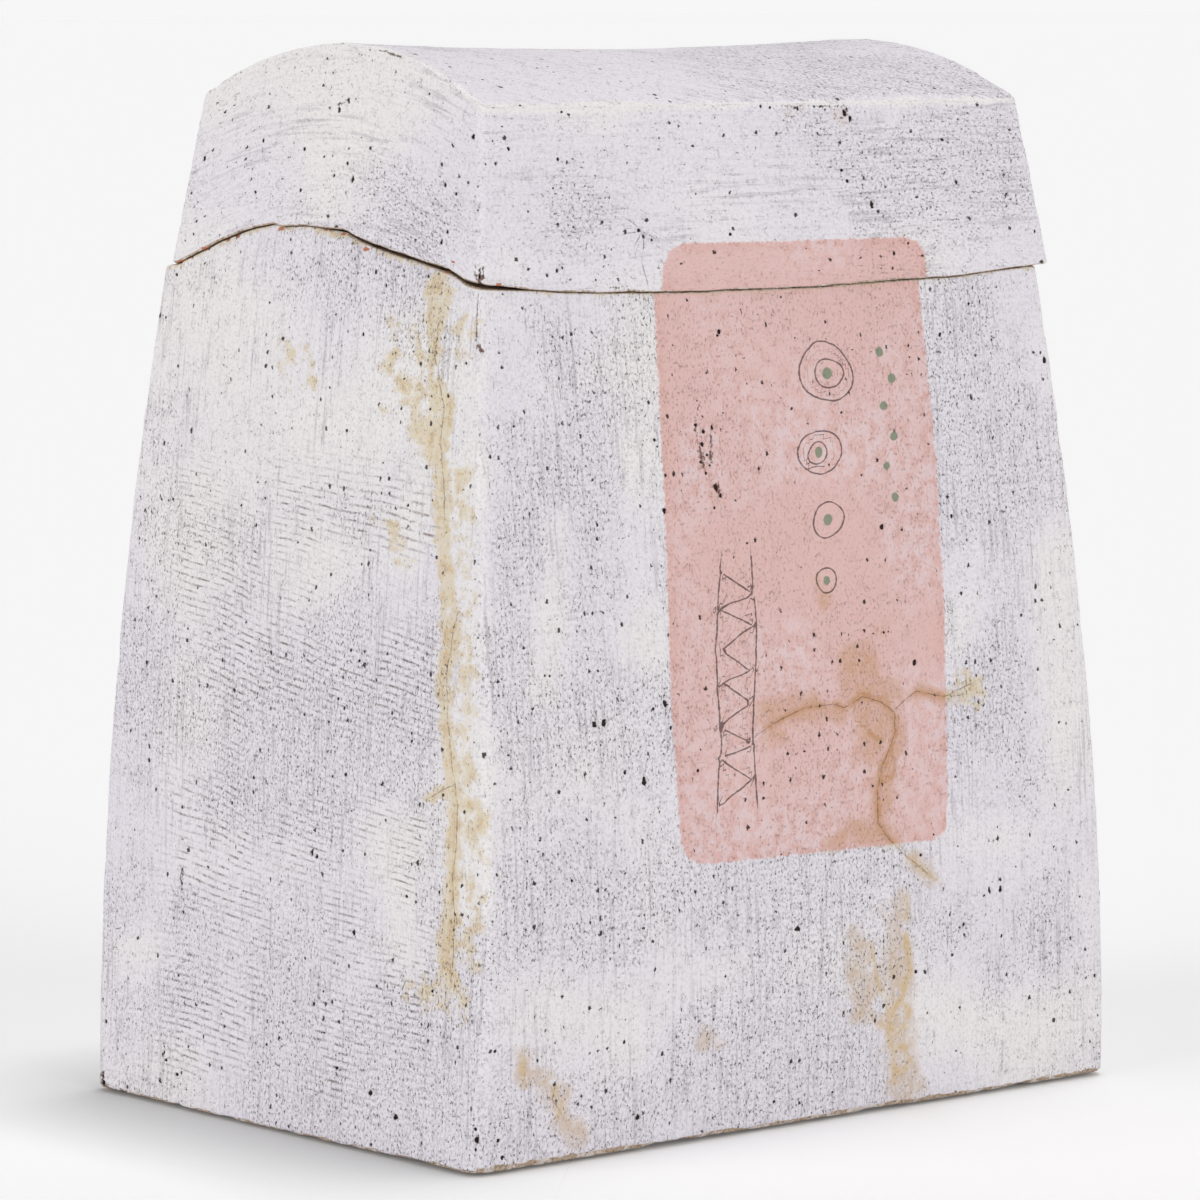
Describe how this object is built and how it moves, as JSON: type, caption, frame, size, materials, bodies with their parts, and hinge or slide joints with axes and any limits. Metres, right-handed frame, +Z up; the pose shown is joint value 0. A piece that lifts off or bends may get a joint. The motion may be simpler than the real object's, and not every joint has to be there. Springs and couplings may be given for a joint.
{
  "type": "lidded slab-built jar",
  "caption": "Tall tapering ceramic box jar with a saddle-backed lift-off lid that meets the body along a wavy hand-cut seam.",
  "frame": {"origin": "on the ground, under the middle of the jar's foot", "axes": "+Z up, X along the long front and back, the front faces -Y"},
  "size_m": [0.2776, 0.2042, 0.3486],
  "materials": {
    "white_slip": "matt chalky slip, brushed and pitted",
    "bare_clay": "rough unglazed grogged stoneware"
  },
  "bodies": {
    "jar": {"floor_slab": "bare_clay", "front_wall": "white_slip", "back_wall": "white_slip", "left_wall": "white_slip", "right_wall": "white_slip", "floor_coil_front": "bare_clay", "floor_coil_back": "bare_clay", "floor_coil_left": "bare_clay", "floor_coil_right": "bare_clay", "corner_coil_front_left": "bare_clay", "corner_coil_front_right": "bare_clay", "corner_coil_back_left": "bare_clay", "corner_coil_back_right": "bare_clay", "rim_strip_front": "bare_clay", "rim_strip_back": "bare_clay", "rim_strip_left": "bare_clay", "rim_strip_right": "bare_clay"},
    "lid": {"lid_top_slab": "white_slip", "lid_front_wall": "white_slip", "lid_back_wall": "white_slip", "lid_left_wall": "white_slip", "lid_right_wall": "white_slip", "lid_coil_front_left": "bare_clay", "lid_coil_front_right": "bare_clay", "lid_coil_back_left": "bare_clay", "lid_coil_back_right": "bare_clay"}
  },
  "joints": [
    {"name": "lid_lift", "type": "slide", "parent": "jar", "child": "lid", "axis": [0, 0, 1], "range_m": [0, 0.08]}
  ]
}
